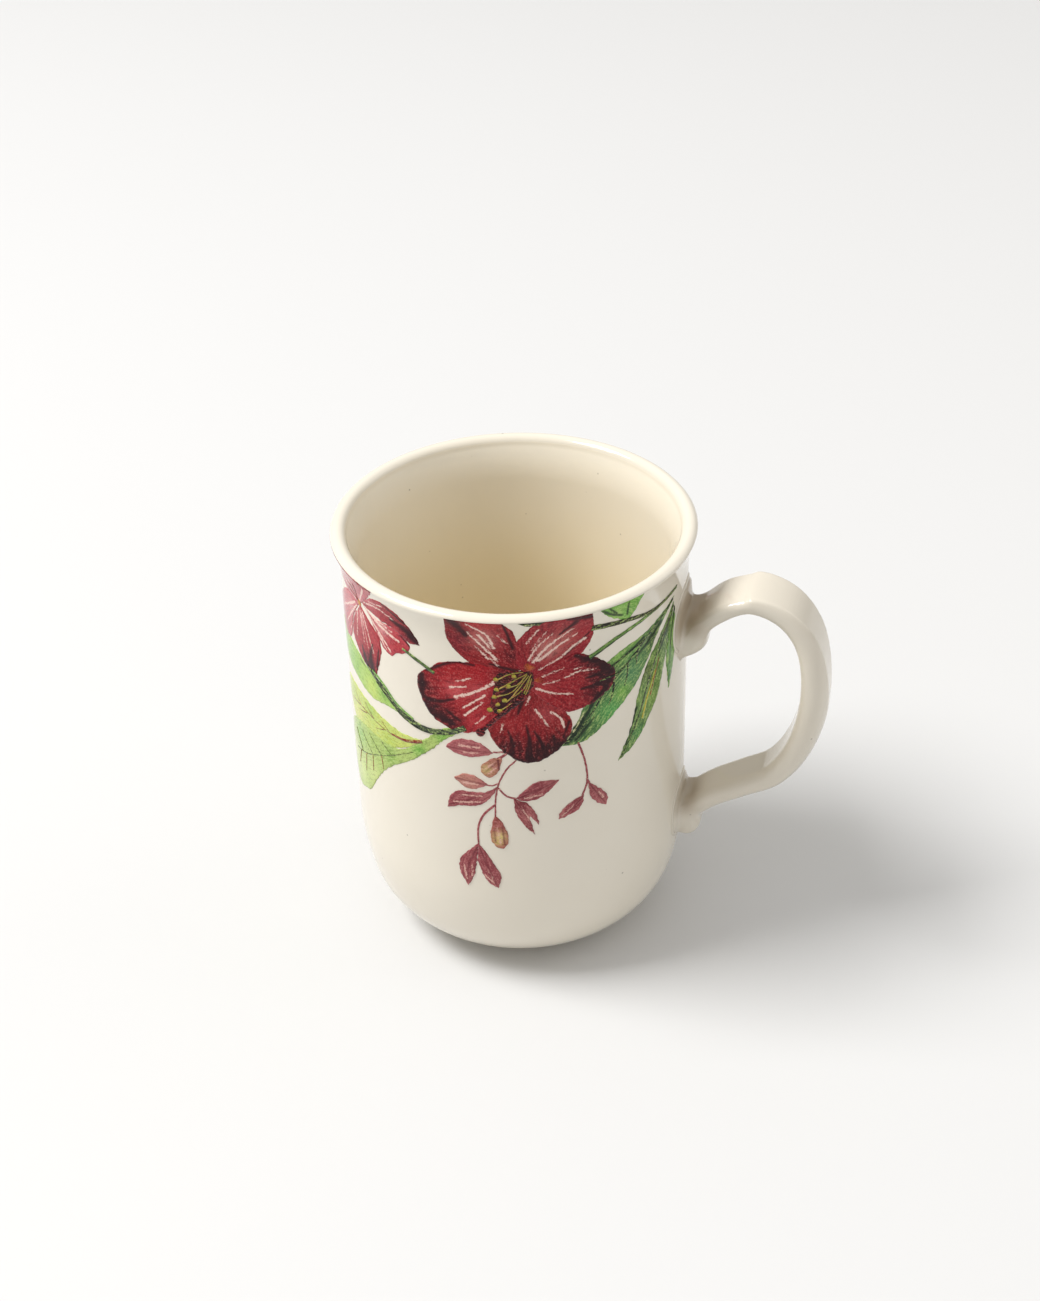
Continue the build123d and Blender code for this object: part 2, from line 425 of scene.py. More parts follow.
def along_line(line, points):
    """For each point: distance along a polyline, signed distance from it (left is positive)."""
    start, step = line[:-1], np.diff(line, axis=0)
    length = np.linalg.norm(step, axis=1)
    travelled = np.concatenate([[0], np.cumsum(length)[:-1]])
    best = np.full(len(points), 1e9)
    along = np.zeros(len(points))
    side = np.ones(len(points))
    for a, s, l, t0 in zip(start, step, length, travelled):
        gap = points - a
        t = np.clip(gap @ s / (l * l), 0, 1)
        near = gap - t[:, None] * s
        d = np.einsum("ij,ij->i", near, near)
        closer = d < best
        best = np.where(closer, d, best)
        along = np.where(closer, t0 + t * l, along)
        side = np.where(closer, np.where(s[0] * gap[:, 1] - s[1] * gap[:, 0] < 0, -1, 1), side)
    return along, side * np.sqrt(best)


def blend_max(a, b, k):
    h = np.maximum(k - np.abs(a - b), 0) / k
    return np.maximum(a, b) + h * h * k / 4


def blend_min(a, b, k):
    return -blend_max(-a, -b, k)


def wall_distance(x, y, z):
    """How far a point stands out from the cup's wall."""
    return np.hypot(x, y) - outside_radius(z)


def foot_pad(x, y, z, patch):
    """Field of a lens-shaped pad that lies on the wall; below zero is inside it."""
    centre, half_width, half_height = patch
    u = np.arctan2(y, x) * WALL_RADIUS
    spread = (np.abs(u) / half_width) ** PAD_POWER + (np.abs(z - centre) / half_height) ** PAD_POWER
    spread = spread ** (1 / PAD_POWER)
    outline = (spread - 1) * half_width
    out = wall_distance(x, y, z) - PAD_DEPTH * (1 - 0.55 * np.minimum(spread, 1) ** 2)
    return blend_max(outline, out, 1.4)


def heel(x, y, z, top, low, half_width):
    """Field of the strap's rounded end that hooks down along the wall; radii are third values."""
    ax, az, ra = top
    bx, bz, rb = low[0] - ax, low[1] - az, low[2]
    t = np.clip(((x - ax) * bx + (z - az) * bz) / (bx * bx + bz * bz), 0, 1)
    gap = np.hypot(x - ax - t * bx, z - az - t * bz) - ra - (rb - ra) * t
    return blend_max(gap, np.abs(y) - half_width, 3.4)


def handle_field(x, y, z):
    """Field of the handle in millimetres; below zero is inside it."""
    flat_x, flat_z = (x[:, :1, :], z[:, :1, :]) if x.ndim == 3 else (x, z)
    line = hermite(STRAP_LINE, step=0.8)
    along, out = along_line(line, np.stack([flat_x.ravel(), flat_z.ravel()], 1))
    along, out = along.reshape(flat_x.shape), out.reshape(flat_x.shape)
    total = np.linalg.norm(np.diff(line, axis=0), axis=1).sum()
    ridge = along_line(line, np.array([RIDGE]))[0][0]
    past = along - ridge
    share = np.clip(past / (total - ridge), 0, 1)
    half_width = HALF_WIDTH - 1.35 * share - 1.4 * np.exp(-(along / 13) ** 2)
    half_thick = HALF_THICK - 0.3 * share - 0.5 * np.exp(-(along / 14) ** 2)
    roundness = (y / half_width) ** 2
    # behind the ridge the crowned top is cut flat; the cut narrows to a point
    rest = 0.3 + 1.5 * np.clip(past / REST_LENGTH, 0, 2) ** 1.1
    after = np.minimum(2.6 * (1 - roundness), rest)
    before = 0.5 * (1 - roundness) - 0.5 * np.exp(-((past + 2.6) / 2.8) ** 2)
    rise = np.clip((past + 1.4) / 1.8, 0, 1)
    top = before + (after - before) * rise * rise * (3 - 2 * rise)
    outer = out - half_thick + 1.0 - top
    strap = blend_max(blend_max(np.abs(y) - half_width, -out - half_thick, 2.8), outer, 1.6)
    body = strap
    for top, low, half, softness in HEELS:
        body = blend_min(body, heel(x, y, z, top, low, half), softness)
    for pad in FOOT_PADS.values():
        body = blend_min(body, foot_pad(x, y, z, pad), 0.8)
    return np.maximum(body, -1.2 - wall_distance(x, y, z))


def skin(name, field, low, high, cell):
    """Closed quad mesh of the zero level of a field, with one corner in each cell that it crosses."""
    axes = [np.arange(low[i], high[i] + cell, cell) for i in range(3)]
    x, y, z = np.meshgrid(*axes, indexing="ij")
    depth = field(x, y, z)
    shape = np.array(depth.shape)
    total = np.zeros((*(shape - 1), 3))
    hits = np.zeros(shape - 1)
    edges = []
    for axis in range(3):
        head = np.moveaxis(depth, axis, 0)
        a, b = head[:-1], head[1:]
        crossed = np.argwhere((a < 0) != (b < 0))
        fa, fb = a[tuple(crossed.T)], b[tuple(crossed.T)]
        order = [axis] + [k for k in range(3) if k != axis]
        index = np.zeros_like(crossed)
        index[:, order] = crossed
        point = np.stack([axes[k][index[:, k]] for k in range(3)], 1)
        point[:, axis] += cell * fa / (fa - fb)
        edges.append((axis, index, fa < 0))
        others = [k for k in range(3) if k != axis]
        for da in (0, 1):
            for db in (0, 1):
                cells = index.copy()
                cells[:, others[0]] -= da
                cells[:, others[1]] -= db
                np.add.at(total, tuple(cells.T), point)
                np.add.at(hits, tuple(cells.T), 1)
    used = hits > 0
    number = np.full(hits.shape, -1)
    number[used] = np.arange(used.sum())
    corners = total[used] / hits[used][:, None]
    faces = []
    for axis, index, rising in edges:
        others = [(axis + 1) % 3, (axis + 2) % 3]
        ring = []
        for da, db in ((0, 0), (1, 0), (1, 1), (0, 1)):
            cells = index.copy()
            cells[:, others[0]] -= da
            cells[:, others[1]] -= db
            ring.append(number[tuple(cells.T)])
        ring = np.stack(ring, 1)
        ring[~rising] = ring[~rising][:, ::-1]
        faces.append(ring)
    nudge = 0.02
    for _ in range(3):
        value = field(*corners.T)
        ahead = [field(*(corners + offset).T) for offset in np.eye(3) * nudge]
        slope = (np.stack(ahead, 1) - value[:, None]) / nudge
        reach = np.maximum((slope ** 2).sum(1), 0.25)
        corners = corners - np.clip(value / reach, -cell, cell)[:, None] * slope
    return mesh_object(name, corners, np.concatenate(faces).tolist())


def mesh_object(name, corners, faces):
    """Smooth-shaded object from corners in millimetres."""
    mesh = bpy.data.meshes.new(name)
    mesh.from_pydata((np.asarray(corners) * MM).tolist(), [], faces)
    mesh.update()
    work = bmesh.new()
    work.from_mesh(mesh)
    bmesh.ops.recalc_face_normals(work, faces=work.faces)
    work.to_mesh(mesh)
    work.free()
    mesh.shade_smooth()
    piece = bpy.data.objects.new(name, mesh)
    bpy.context.collection.objects.link(piece)
    return piece


def slip_bead(name, patch, material):
    """Thin bead of slip squeezed out round a foot pad, where it meets the wall."""
    centre, half_width, half_height = patch
    turns = np.linspace(0, 2 * math.pi, 120, endpoint=False)
    power = 2 / PAD_POWER
    across, up = np.cos(turns), np.sin(turns)
    path = np.stack([half_width * np.sign(across) * np.abs(across) ** power,
                     centre + half_height * np.sign(up) * np.abs(up) ** power], 1)
    ahead = np.roll(path, -1, axis=0) - np.roll(path, 1, axis=0)
    ahead /= np.linalg.norm(ahead, axis=1)[:, None]
    corners, faces = [], []
    for i, ((u, z), (du, dz)) in enumerate(zip(path, ahead)):
        for k in range(BEAD_SIDES):
            a = 2 * math.pi * k / BEAD_SIDES
            aside, out = 0.15 + 0.5 * math.cos(a), 0.3 * math.sin(a)
            pu, pz = u + dz * aside, z - du * aside
            r = float(outside_radius(pz)) + out
            corners.append((r * math.cos(pu / WALL_RADIUS), r * math.sin(pu / WALL_RADIUS), pz))
            n, m = (i + 1) % len(path), (k + 1) % BEAD_SIDES
            faces.append([i * BEAD_SIDES + k, i * BEAD_SIDES + m,
                          n * BEAD_SIDES + m, n * BEAD_SIDES + k])
    bead = mesh_object(name, corners, faces)
    bead.data.materials.append(material)
    return bead


def make_handle(material):
    handle = skin("handle_strap", handle_field, (37.0, -10.6, 23.0), (73.5, 10.6, 99.6), SKIN_CELL)
    handle.data.materials.append(material)
    x, y, z = np.array([v.co for v in handle.data.vertices]).T / MM
    out = wall_distance(x, y, z)
    # painted shade: how dark each corner of the handle is painted near its roots by the wall
    crease_darkness = sum(strength * np.exp(-((out - off) / depth) ** 2) * np.exp(-((z - level) / tall) ** 4)
                for level, off, tall, depth, strength in CREASE_SHADES)
    crease_shade = handle.data.attributes.new("crease_shade", "FLOAT", "POINT")
    crease_shade.data.foreach_set("value", crease_darkness)
    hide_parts("handle")
    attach(handle, "root")
    for name, pad in FOOT_PADS.items():
        bead = slip_bead(name + "_slip", pad, material)
        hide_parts(name + "_handle_joint")
        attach(bead, "root")


# ---- printed decor -----------------------------------------------------------------------------
# Places on the wall are (u, z) in millimetres: u runs along the wall from the middle of a side,
# positive to the right, z is the height. The print is cut off straight at the lip's outer edge.
PRINT_TOP = RIM_Z - 0.1
MIN_STROKE = 0.32                       # finer strokes than the mesh can hold get fainter instead
FILM_RISE, LAYER_RISE = 0.045, 0.007    # a shape's height over the wall: this much, and more by layer
FILM_DEPTH = 0.12                       # the film reaches this far into the wall
SIDES = {"front": -75.0, "rear": 105.0}         # where u = 0 lies, in degrees round the cup
CRIMSON = (142, 24, 30)
SCARLET = (182, 26, 30)
BLUSH = (222, 160, 162)
BOTTLE = (28, 40, 32)
MAUVE = (146, 70, 76)
STRAW = (222, 200, 132)
RUST = (140, 46, 34)


def linear(colour):
    """Scene-linear value of a colour given in 0 to 255 display steps."""
    value = np.asarray(colour, float) / 255
    return np.where(value <= 0.04045, value / 12.92, ((value + 0.055) / 1.055) ** 2.4)


def inside(outline, points):
    """Which points lie inside a closed outline."""
    result = np.zeros(len(points), bool)
    for (ax, ay), (bx, by) in zip(outline, np.roll(outline, -1, axis=0)):
        if ay != by:
            crosses = (ay > points[:, 1]) != (by > points[:, 1])
            at = ax + (points[:, 1] - ay) * (bx - ax) / (by - ay)
            result ^= crosses & (points[:, 0] < at)
    return result


def stroke_mask(points, stroke):
    """How strongly a tapered brush stroke (start width, end width, places) covers each point."""
    start, end, *places = stroke
    line = hermite(places, step=0.6)
    along, across = along_line(line, points)
    length = np.linalg.norm(np.diff(line, axis=0), axis=1).sum()
    width = start + (end - start) * along / length
    fit = np.maximum(width, MIN_STROKE)
    return np.sqrt(width / fit) * np.exp(-(across / fit / 0.9) ** 2)


class Print:
    """Thin film of glaze colours for one motif, gathered shape by shape."""

    def __init__(self, side):
        self.side = side
        self.layer = 0
        self.corners, self.faces = [], []
        self.wash, self.light, self.dark, self.flow = [], [], [], []

    def place(self, points, proud):
        angle = math.radians(SIDES[self.side]) + points[:, 0] / WALL_RADIUS
        radius = outside_radius(points[:, 1]) + proud
        return np.stack([radius * np.cos(angle), radius * np.sin(angle), points[:, 1]], 1)

    def shape(self, outline, colour, spots=(), light=(), dark=(), flow=None, rough=0.14, fine=0.36):
        """One closed patch of colour with its soft spots and its pale and dark brush strokes."""
        edge = hermite(outline, closed=True, step=fine)
        ragged = [noise.noise_vector(Vector((u * 1.1, z * 1.1, self.layer))) for u, z in edge]
        edge = edge + np.array([(v.x, v.y) for v in ragged]) * rough * 2
        edge[:, 1] = np.minimum(edge[:, 1], PRINT_TOP)
        low, high = edge.min(axis=0), edge.max(axis=0)
        rows = np.arange(low[1], high[1], fine * 0.87)
        grid = np.array([(u + (i % 2) * fine / 2, z) for i, z in enumerate(rows)
                         for u in np.arange(low[0], high[0], fine)]).reshape(-1, 2)
        grid = grid[inside(edge, grid)]
        if len(grid):
            loop = np.vstack([edge, edge[:1]])
            grid = grid[np.abs(along_line(loop, grid)[1]) > fine * 0.45]
        points = np.vstack([edge, grid])
        count = len(edge)
        found = geometry.delaunay_2d_cdt([Vector(p) for p in points], [], [list(range(count))], 1, 1e-5)
        points = np.array([tuple(v) for v in found[0]])
        self.layer += 1
        proud = FILM_RISE + LAYER_RISE * self.layer
        top, base = len(self.corners), len(self.corners) + len(points)
        self.corners += self.place(points, proud).tolist() + self.place(points, -FILM_DEPTH).tolist()
        sides = {}
        for face in found[2]:
            self.faces.append([top + i for i in face])
            self.faces.append([base + i for i in face[::-1]])
            for a, b in zip(face, face[1:] + face[:1]):
                sides[(a, b)] = sides.get((a, b), 0) + 1
        for a, b in sides:
            if (b, a) not in sides:
                self.faces.append([top + b, top + a, base + a, base + b])
        self.paint(points, colour, spots, light, dark, flow)

    def paint(self, points, colour, spots, light, dark, flow):
        wash = np.tile(linear(colour), (len(points), 1))
        for u, z, reach, tint in spots:
            near = np.exp(-(((points - (u, z)) / reach) ** 2).sum(1))[:, None]
            wash = wash * (1 - near) + linear(tint) * near
        pale = np.max([stroke_mask(points, s) for s in light], axis=0) if light else np.zeros(len(points))
        deep = np.max([stroke_mask(points, s) for s in dark], axis=0) if dark else np.zeros(len(points))
        if flow is None:
            run = points
        elif len(flow) == 1:
            arm = points - np.array(flow[0])
            run = np.stack([np.hypot(*arm.T), np.arctan2(arm[:, 1], arm[:, 0]) * 9], 1)
        else:
            run = np.stack(along_line(hermite(flow, step=1.0), points), 1)
        for values, new in ((self.wash, wash), (self.light, pale), (self.dark, deep), (self.flow, run)):
            values += new.tolist() * 2

    def line(self, places, start, end, colour, **paint):
        """Painted line that tapers from one width to another."""
        spine = hermite(places, step=0.9)
        ahead = np.gradient(spine, axis=0)
        ahead /= np.linalg.norm(ahead, axis=1)[:, None]
        across = np.stack([-ahead[:, 1], ahead[:, 0]], 1)
        half = np.linspace(start, end, len(spine))[:, None] / 2
        left, right = spine + across * half, spine - across * half
        outline = [(*p, 1) for p in np.vstack([left, right[::-1]])]
        self.shape(outline, colour, fine=max(0.3, min(start, end)), rough=0.05, **paint)

    def dot(self, u, z, radius, colour, **paint):
        ring = [(u + radius * math.cos(a), z + radius * math.sin(a))
                for a in np.linspace(0, 2 * math.pi, 7)[:-1]]
        self.shape(ring, colour, rough=0.12, **paint)

    def finish(self, name, node, material):
        piece = mesh_object(name, self.corners, self.faces)
        mesh = piece.data
        wash = mesh.attributes.new("wash", "FLOAT_COLOR", "POINT")
        wash.data.foreach_set("color", np.hstack([self.wash, np.ones((len(self.wash), 1))]).ravel())
        for label, values in (("light", self.light), ("dark", self.dark)):
            mesh.attributes.new(label, "FLOAT", "POINT").data.foreach_set("value", values)
        flow = mesh.uv_layers.new(name="flow")
        corner_of = np.zeros(len(mesh.loops), int)
        mesh.loops.foreach_get("vertex_index", corner_of)
        flow.data.foreach_set("uv", np.array(self.flow)[corner_of].ravel())
        mesh.materials.append(material)
        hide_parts(node)
        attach(piece, "root")
        return piece


def paint_flower(side, material):
    film = Print(side)
    heart = [(2.0, 89.5)]
    # upper left petal, cut off by the lip
    film.shape([(1.2, 92, 1), (0.4, 96), (-0.2, 99), (-1, 101.8), (-3.2, 104.6, 1), (-14.9, 104.6, 1),
        (-15.2, 99), (-13.6, 95.6), (-9.8, 92.6), (-4, 88.5, 1)], CRIMSON,
        spots=[(-7.5, 104.5, 3.2, SCARLET), (-4, 99.5, 2.6, (150, 40, 48)),
           (-12.5, 98, 3, (120, 28, 40)), (-1.2, 95, 2, (96, 18, 28)),
           (-7.4, 99.6, 2.7, (196, 118, 112))],
        light=[(0.25, 0.45, (-10.4, 101), (-8, 98), (-4.4, 94)),
           (0.2, 0.5, (-10.5, 103.6), (-6.6, 100.8), (-5, 97.2)),
           (0.1, 0.25, (-7.2, 95.6), (-4.2, 92.6)), (0.1, 0.25, (-4.2, 100.8), (-2.4, 98.6)),
           (0.5, 0.25, (-8, 100.4), (-5.6, 96.8)), (0.1, 0.3, (-9.2, 97.4), (-6.2, 94.2))],
        dark=[(2.2, 0.7, (-13.6, 104.4), (-12.2, 102.2), (-10.8, 100)),
           (0.3, 0.5, (-2.8, 103.8), (-1, 97)), (0.3, 0.8, (-6, 93), (0, 91))],
        flow=heart)
    # upper right petal
    film.shape([(-0.4, 92.5, 1), (-0.2, 98.6), (1.4, 101), (4, 104.6, 1), (15.6, 104.6, 1),
        (16.5, 98.4), (15.2, 95.4), (13, 93.2), (8.6, 91.4), (3, 88.6, 1)], (152, 30, 42),
        spots=[(6.6, 96.6, 2.8, (206, 132, 124)), (10.4, 98.8, 2.8, (190, 104, 98)),
           (14.2, 99.5, 2, (166, 44, 52)), (1, 97, 2, (140, 30, 38)), (5, 102.6, 2.4, (146, 34, 42))],
        light=[(0.35, 0.15, (2.2, 93.8), (3.8, 96.6), (7.4, 100.4)),
           (0.5, 0.2, (3.2, 93.4), (6.4, 97), (11.8, 101)),
           (0.5, 0.2, (4.4, 93.6), (8.4, 96.6), (12.6, 99.2)),
           (0.25, 0.5, (9, 93.6), (11.6, 95.8), (14.6, 97.4)), (0.2, 0.25, (4.4, 91.2), (9.4, 93.8)),
           (0.15, 0.25, (1.8, 98.2), (4.4, 102)), (0.12, 0.2, (3, 96.4), (6, 101.4))],
        dark=[(0.3, 0.8, (8.8, 99.8), (12.4, 102.8)), (0.5, 1, (10.4, 104), (15.6, 103.4)),
           (0.2, 0.3, (10, 94), (15.4, 98.6))],
        flow=heart)
    # lowest petal
    film.shape([(1, 88, 1), (4.4, 86), (7.6, 82), (10.6, 78.4), (11.5, 75.4), (10.6, 72.4),
        (8.4, 69.6), (4.4, 67.2), (1, 66.8), (-1.8, 68.2), (-4.4, 70.6), (-6.4, 74), (-6.8, 77),
        (-3.6, 80.6)], CRIMSON,
        spots=[(-1, 77, 3, (160, 34, 40)), (5.6, 79.4, 2.4, (172, 66, 70)),
           (0.6, 73, 2.2, (166, 24, 34)), (5, 73.4, 2, (156, 26, 36)), (2, 68, 4.6, (48, 14, 20)),
           (-3.6, 70, 3.4, (52, 16, 22)), (8, 70.4, 3.6, (52, 16, 22)), (5, 70.4, 2.4, (58, 16, 22)),
           (-1.2, 72.2, 2, (84, 18, 26))],
        light=[(0.45, 0.25, (4.4, 84.6), (8.4, 80.8)),
           (0.3, 0.45, (6.8, 79.8), (8.6, 78.2), (9.6, 75.4)), (0.35, 0.2, (3.4, 81), (6.2, 76.2)),
           (0.25, 0.15, (2.4, 84.6), (1.4, 82.2)), (0.2, 0.1, (-3.6, 77.6), (-4.4, 74.6))],
        dark=[(1.1, 0.2, (-2.4, 68.4), (-1.8, 72.4), (-2.6, 75.6)),
           (1.2, 0.2, (1.4, 67), (2, 72), (1.4, 77)), (1.2, 0.2, (4.8, 67.4), (4.8, 71), (3, 75.4)),
           (1, 0.2, (7.8, 69.6), (7.2, 73.6)), (1, 1, (-5, 70.2), (0, 67), (6, 67.6), (10.4, 72)),
           (1, 0.3, (1.4, 86), (-0.4, 80)), (0.5, 0.2, (10.8, 76.6), (9.4, 72.6))],
        flow=heart)
    # right petal
    film.shape([(1.6, 88.4, 1), (4.2, 90.8), (8.6, 93), (12.6, 94), (16.2, 92.2), (19.6, 89.6),
        (21.9, 86.6), (21.4, 83.4), (18.6, 81.2), (14.6, 79.6), (10.2, 79.3), (6.6, 81.8), (3.6, 85)],
        (146, 26, 38),
        spots=[(5.4, 86, 2.6, (176, 52, 56)), (9, 82.6, 3, (158, 24, 36)), (12, 87, 3, (168, 34, 44)),
           (19.6, 86.6, 4.4, (46, 14, 22)), (16, 91.6, 3.2, (60, 16, 24)),
           (18.4, 82.6, 3, (56, 16, 24))],
        light=[(0.25, 0.15, (3.6, 88.6), (6.6, 89.9), (10, 90.8)),
           (0.3, 0.15, (10, 88.3), (13.2, 89.2), (17, 88.6)), (0.2, 0.15, (5.2, 87.4), (8.8, 87.8)),
           (0.4, 0.2, (3.8, 86.4), (7.2, 84.8), (11.8, 83.6)), (0.15, 0.1, (12, 90), (14, 90.2))],
        dark=[(0.6, 1.6, (12.4, 93.4), (18, 90), (20.8, 86.2)),
           (1.5, 0.5, (20.6, 86.2), (19.4, 82.8), (16, 80.2)), (0.3, 1, (13.6, 84.4), (18, 84.6)),
           (0.3, 0.8, (14.6, 87), (19, 87.2))],
        flow=heart)
    # left petal
    film.shape([(1.8, 91, 1), (-3.6, 91.6), (-8.8, 92.7), (-13.4, 92.6), (-17.4, 91.4), (-20, 89.2),
        (-22.6, 87), (-23, 83.6), (-21.8, 80), (-19.8, 76.8), (-17, 75.2), (-14.2, 74.2),
        (-10.8, 74.4), (-7.2, 76.4), (-4.4, 79.6), (-1.4, 84)], (160, 26, 36),
        spots=[(-13, 89, 3.8, (166, 26, 32)), (-9, 91, 2.6, (170, 24, 34)),
           (-22, 84.4, 3.2, (50, 16, 22)), (-14, 85.2, 2.2, (208, 88, 92)),
           (-9.6, 77.6, 3, (184, 48, 56)), (-19.2, 78.6, 3.6, (42, 14, 20)),
           (-15.6, 76.2, 3.2, (56, 16, 22)), (-9, 85.6, 2.2, (190, 70, 76)),
           (-3, 90.2, 2.4, (92, 18, 28))],
        light=[(0.55, 0.35, (-14, 83.2), (-9.8, 85.2), (-5.2, 87.9)),
           (0.3, 0.35, (-12.2, 80.8), (-7.2, 84.8)), (0.4, 0.2, (-12, 78.8), (-7.8, 82.8)),
           (0.2, 0.3, (-13.6, 87.5), (-10.4, 88.7)), (0.3, 0.2, (-15.2, 85.6), (-11.4, 86.4)),
           (0.15, 0.2, (-9.6, 77), (-7.4, 79.2)), (0.12, 0.2, (-8, 86.6), (-5.4, 88.4))],
        dark=[(1, 1, (-21.8, 87.2), (-22, 82)), (0.9, 0.4, (-21.8, 81.2), (-18, 81.2), (-14.4, 82.6)),
           (1.9, 0.9, (-21.2, 79), (-18, 77.2), (-14.6, 76)),
           (0.6, 0.4, (-20.4, 88.8), (-14, 92.4), (-9.4, 92.4)), (0.5, 0.3, (-16, 79.2), (-13, 77))],
        flow=heart)
    # heart of the flower: orange throat, dark hollow, stamens, anthers and the pistil
    film.shape([(1, 92), (1.8, 93), (3, 92.8), (3.4, 91.6), (2.8, 90.6), (1.8, 90.8)], (150, 58, 38),
        rough=0.4, spots=[(2.4, 92, 0.9, (198, 104, 48)), (1.2, 91.4, 0.8, (120, 30, 28))], flow=heart)
    film.shape([(3, 88.2), (3.6, 89.2), (5, 89.2), (5.6, 88.4), (4.8, 87.8), (3.6, 87.6)],
        (150, 44, 36),
        rough=0.4, spots=[(3.7, 88.5, 0.7, (186, 92, 44))], flow=heart)
    film.shape([(2.8, 90.6), (-0.4, 91.2), (-4.6, 90), (-5.4, 86.6), (-6.2, 82), (-5, 80), (-1.8, 82),
        (1.2, 84.6), (3, 87.4)], (36, 20, 16),
        spots=[(-4.8, 83.6, 1.6, (110, 30, 32))],
        dark=[(0.9, 1.2, (2.2, 89.6), (-2.4, 85.4), (-3.8, 81.8))], flow=heart, rough=0.3)
    for places in (((2.7, 90.2), (1.0, 86.6), (-2.9, 83.2)), ((1.9, 90.5), (-0.8, 88.9), (-4.2, 86.6)),
                   ((1.0, 90.9), (-1.8, 90.5), (-4.6, 88.9)), ((2.8, 89.2), (1.3, 85.0), (-3.7, 81.3)),
                   ((1.6, 89.9), (-1.4, 85.9), (-4.8, 84.6)), ((2.2, 90.0), (0.2, 87.0), (-1.6, 84.4)),
                   ((2.4, 89.0), (0.6, 84.6), (-2.2, 82.4)), ((1.8, 90.2), (-0.4, 87.6), (-2.6, 87.2))):
        film.line(places, 0.2, 0.3, (164, 156, 70), spots=[(*places[-1], 1.5, (200, 186, 100))])
    anthers = [(-4.8, 89), (-4.7, 86.4), (-5.3, 84.5), (-3.1, 83.6), (-4.6, 82.6), (-6.3, 81),
               (-4.1, 80.9), (-0.9, 89.9), (-2.2, 87.3)]
    for u, z in anthers:
        film.dot(u, z, 0.56, (150, 148, 54),
            spots=[(u + 0.2, z + 0.2, 0.4, (214, 200, 80))],
            dark=[(0.14, 0.2, (u - 0.6, z - 0.5), (u + 0.5, z - 0.6))])
    film.line(((1.4, 85), (-2.2, 81.5), (-5.6, 78.2), (-8.4, 74.9)), 1.3, 0.8, (44, 14, 20))
    film.dot(-8.6, 74.8, 1, (44, 14, 20))
    film.finish(side + "_flower", side + "_flower_print", material)


